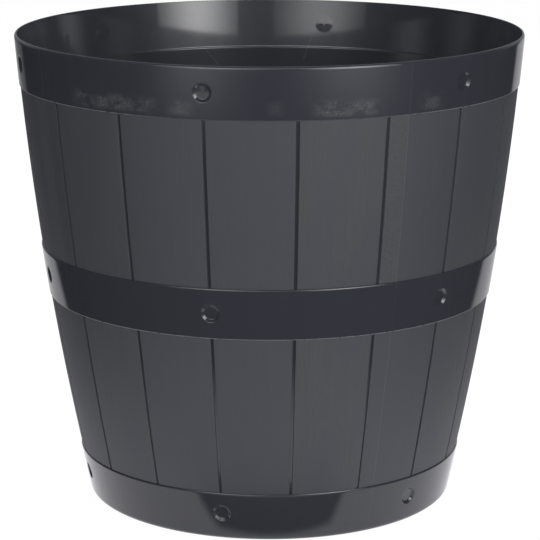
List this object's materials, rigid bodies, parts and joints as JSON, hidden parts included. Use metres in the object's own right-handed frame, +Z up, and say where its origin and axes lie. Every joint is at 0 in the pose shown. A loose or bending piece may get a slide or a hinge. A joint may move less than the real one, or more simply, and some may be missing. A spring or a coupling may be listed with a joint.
{
  "type": "plastic barrel planter",
  "caption": "Round barrel-shaped plastic planter with moulded wood-grain staves, flat hoops with dimpled rivets and push-in drain plugs.",
  "frame": {"origin": "centre of the foot ring, on the ground", "axes": "+Z up along the planter's axis; -Y through the front column of rivets; +X to the right of someone who faces that column"},
  "size_m": [0.3998, 0.3998, 0.372],
  "materials": {
    "hoop_gloss": "gloss",
    "stave_satin": "satin",
    "plug_black": "satin"
  },
  "bodies": {
    "pot": {"rim_hoop": "hoop_gloss", "rim_rivets": "hoop_gloss", "upper_staves": "stave_satin", "middle_hoop": "hoop_gloss", "middle_rivets": "hoop_gloss", "lower_staves": "stave_satin", "base_hoop": "hoop_gloss", "base_rivets": "hoop_gloss", "foot_ring": "hoop_gloss", "floor_plate": "hoop_gloss", "drain_collars": "hoop_gloss", "floor_ribs": "hoop_gloss"},
    "plug_1": {"drain_plug_1": "plug_black"},
    "plug_2": {"drain_plug_2": "plug_black"},
    "plug_3": {"drain_plug_3": "plug_black"},
    "plug_4": {"drain_plug_4": "plug_black"}
  },
  "joints": [
    {"name": "pull_plug_1", "type": "slide", "parent": "pot", "child": "plug_1", "axis": [0, 0, 1], "range_m": [0, 0.03]},
    {"name": "pull_plug_2", "type": "slide", "parent": "pot", "child": "plug_2", "axis": [0, 0, 1], "range_m": [0, 0.03]},
    {"name": "pull_plug_3", "type": "slide", "parent": "pot", "child": "plug_3", "axis": [0, 0, 1], "range_m": [0, 0.03]},
    {"name": "pull_plug_4", "type": "slide", "parent": "pot", "child": "plug_4", "axis": [0, 0, 1], "range_m": [0, 0.03]}
  ]
}
